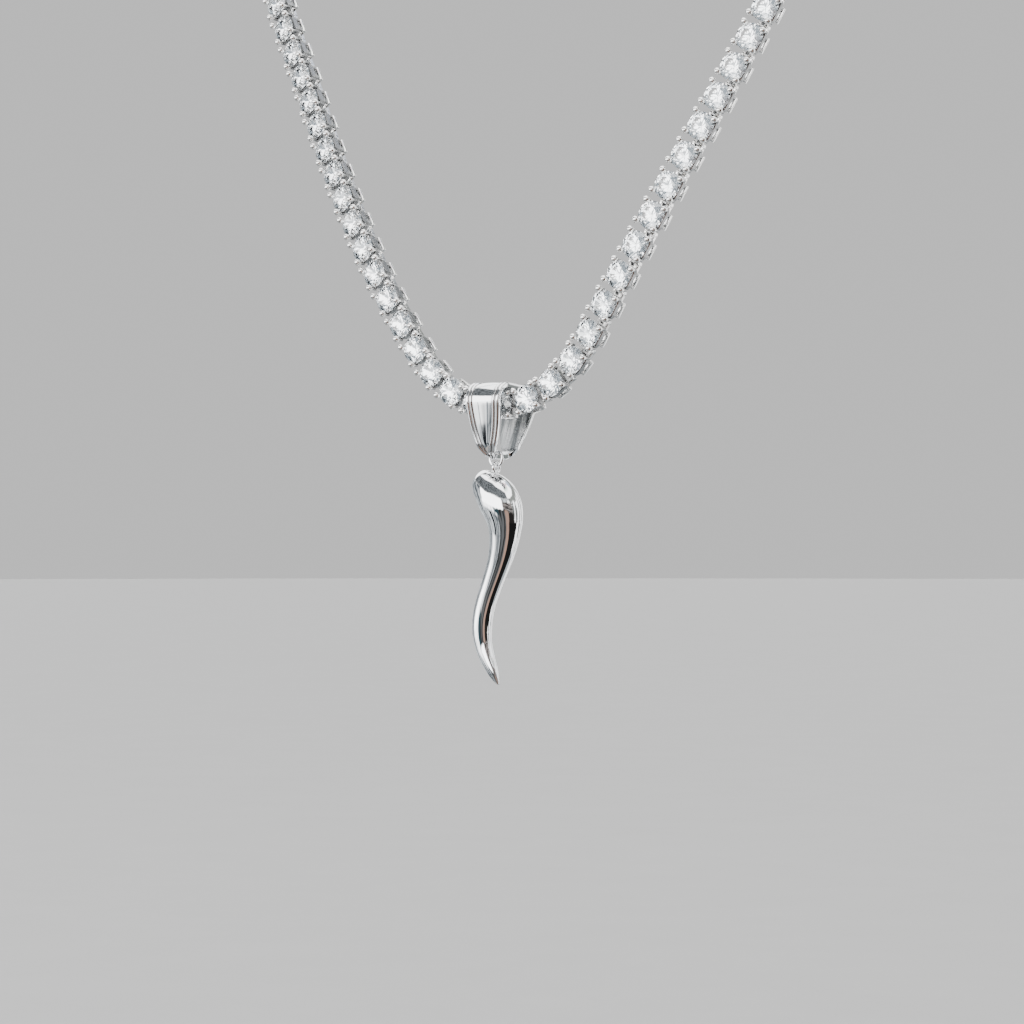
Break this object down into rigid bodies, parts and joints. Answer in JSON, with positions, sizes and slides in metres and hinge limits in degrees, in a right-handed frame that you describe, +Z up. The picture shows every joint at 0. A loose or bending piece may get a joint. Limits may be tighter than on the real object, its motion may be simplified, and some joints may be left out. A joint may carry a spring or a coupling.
{
  "type": "horn pendant on tennis chain",
  "caption": "Curved horn pendant with a bulbous head, hung by a jump ring and a wide double-rimmed bail from a four-prong tennis chain of round stones.",
  "frame": {"origin": "on the nape: the middle of the clasp's inner face, where the closed chain lies against the back of the neck", "axes": "+Z up as worn, front of the jewel towards -Y, +X to the viewer's right from the front. The loop leans 3.5 degrees as it is worn, and the pendant hangs plumb."},
  "size_m": [0.1434, 0.1138, 0.1789],
  "materials": {
    "horn_silver": "mirror-polished rhodium-plated silver",
    "ring_silver": "polished silver wire",
    "bail_silver": "mirror-polished rhodium-plated silver",
    "chain_silver": "bright-dipped rhodium-plated silver",
    "clasp_silver": "polished rhodium-plated silver",
    "white_stone": "faceted, polished cubic zirconia"
  },
  "bodies": {
    "chain": {"chain_left": "chain_silver", "chain_right": "chain_silver", "stones_left": "white_stone", "stones_right": "white_stone", "clasp": "clasp_silver"},
    "bail": {"bail": "bail_silver"},
    "jump_ring": {"jump_ring": "ring_silver"},
    "horn": {"horn": "horn_silver"}
  },
  "joints": [
    {"name": "bail_swing", "type": "hinge", "parent": "chain", "child": "bail", "pos_m": [0.00546, -0.1052, -0.12942], "axis": [1, 0, 0], "range_deg": [-5, 30]},
    {"name": "ring_rock", "type": "hinge", "parent": "bail", "child": "jump_ring", "pos_m": [0.00546, -0.10517, -0.13811], "axis": [0, 1, 0], "range_deg": [-15, 15]},
    {"name": "horn_swing", "type": "hinge", "parent": "jump_ring", "child": "horn", "pos_m": [0.00546, -0.10517, -0.1396], "axis": [1, 0, 0], "range_deg": [-45, 45]}
  ]
}
